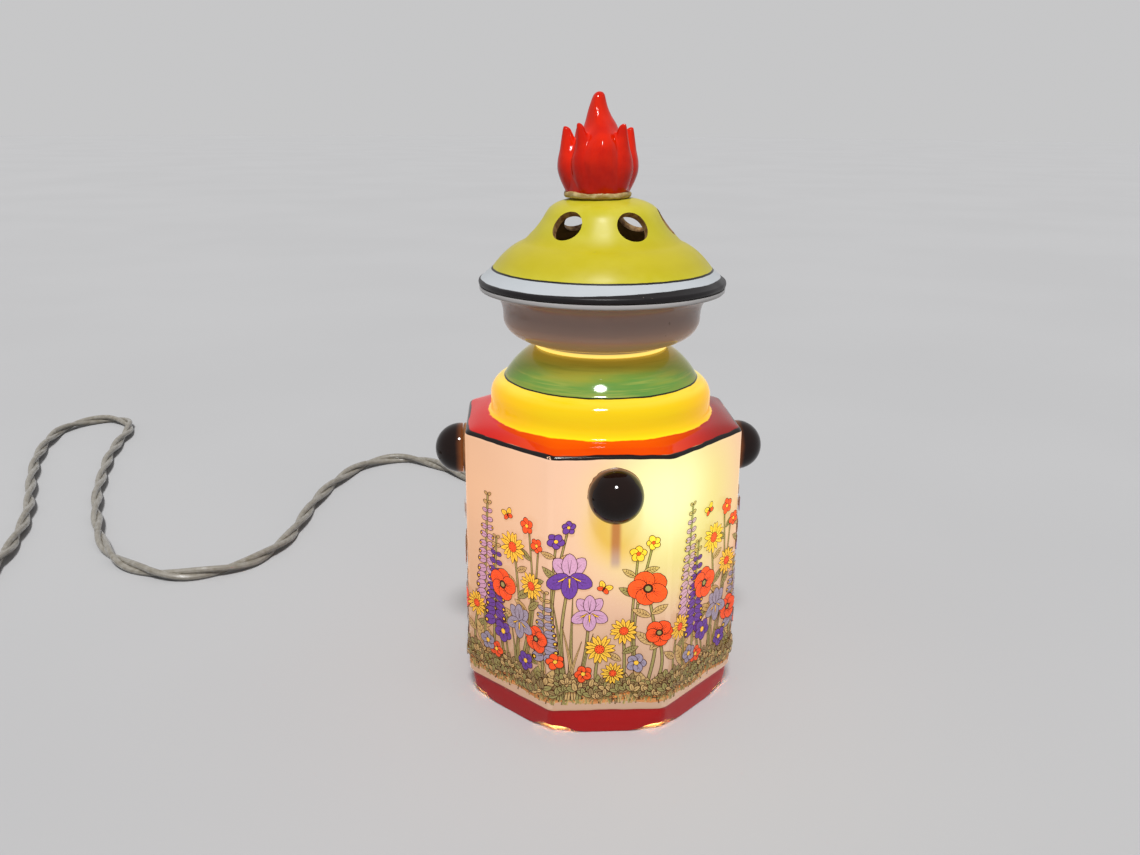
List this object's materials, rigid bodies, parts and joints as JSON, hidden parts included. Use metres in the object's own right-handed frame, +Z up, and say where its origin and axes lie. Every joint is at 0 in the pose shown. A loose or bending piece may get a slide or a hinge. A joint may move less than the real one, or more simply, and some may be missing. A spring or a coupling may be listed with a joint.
{
  "type": "aroma lamp",
  "caption": "Octagonal porcelain aroma lamp: a lit tower with ball knobs, a lift-off oil dish over the bulb, a pierced lid with a flame on top, and a twisted lead with a flat plug.",
  "frame": {"origin": "centre of the tower's underside, on the table", "axes": "+Z up the tower, -Y out of the front wall, +X to the right of the front"},
  "size_m": [0.4383, 0.4011, 0.2199],
  "materials": {
    "porcelain_body": "thin glazed porcelain, lit from inside",
    "porcelain_dish": "glazed white porcelain",
    "porcelain_lid": "brushed yellow glaze",
    "glaze_red": "glossy red glaze",
    "glaze_dark": "glossy near-black glaze",
    "cement_brown": "brown resin cement",
    "cement_beige": "beige cement",
    "spring_steel": "plated spring strip",
    "brass": "turned brass",
    "phenolic": "moulded black phenolic",
    "solder": "dull solder",
    "black_glass": "opaque black glass",
    "nickel": "nickel plate",
    "clear_glass": "clear glass",
    "tungsten": "glowing wire",
    "flex_plastic": "black flexible moulding",
    "clear_lead": "clear insulation over stranded copper",
    "plug_plastic": "ivory moulded plastic"
  },
  "bodies": {
    "tower": {"body_shell": "porcelain_body", "knob_front": "glaze_dark", "knob_right": "glaze_dark", "knob_rear": "glaze_dark", "knob_left": "glaze_dark", "knob_cement_front": "cement_brown", "knob_cement_right": "cement_brown", "knob_cement_rear": "cement_brown", "knob_cement_left": "cement_brown", "spring_bow": "spring_steel", "holder_nipple": "brass", "holder_nut": "brass", "holder_base": "phenolic", "holder_shell": "phenolic", "holder_thread": "brass", "holder_contact": "brass", "cord_bush": "flex_plastic", "inner_lead": "clear_lead", "cord_run": "clear_lead", "cord_coil": "clear_lead", "coil_tie": "flex_plastic", "plug_boot": "plug_plastic", "plug_body": "plug_plastic", "plug_pin_left": "nickel", "plug_pin_right": "nickel"},
    "dish": {"oil_dish": "porcelain_dish"},
    "lid": {"pierced_lid": "porcelain_lid", "finial_cement": "cement_beige", "flame_finial": "glaze_red"},
    "bulb": {"bulb_tip": "solder", "bulb_insulator": "black_glass", "bulb_cap": "nickel", "bulb_glass": "clear_glass", "bulb_stem": "clear_glass", "bulb_filament": "tungsten"}
  },
  "joints": [
    {"name": "dish_lift", "type": "slide", "parent": "tower", "child": "dish", "axis": [0, 0, 1], "range_m": [0, 0.06]},
    {"name": "lid_lift", "type": "slide", "parent": "dish", "child": "lid", "axis": [0, 0, 1], "range_m": [0, 0.05]},
    {"name": "bulb_turn", "type": "hinge", "parent": "tower", "child": "bulb", "pos_m": [0, 0, 0.06], "axis": [0, 0, 1], "range_deg": [0, 900]}
  ]
}
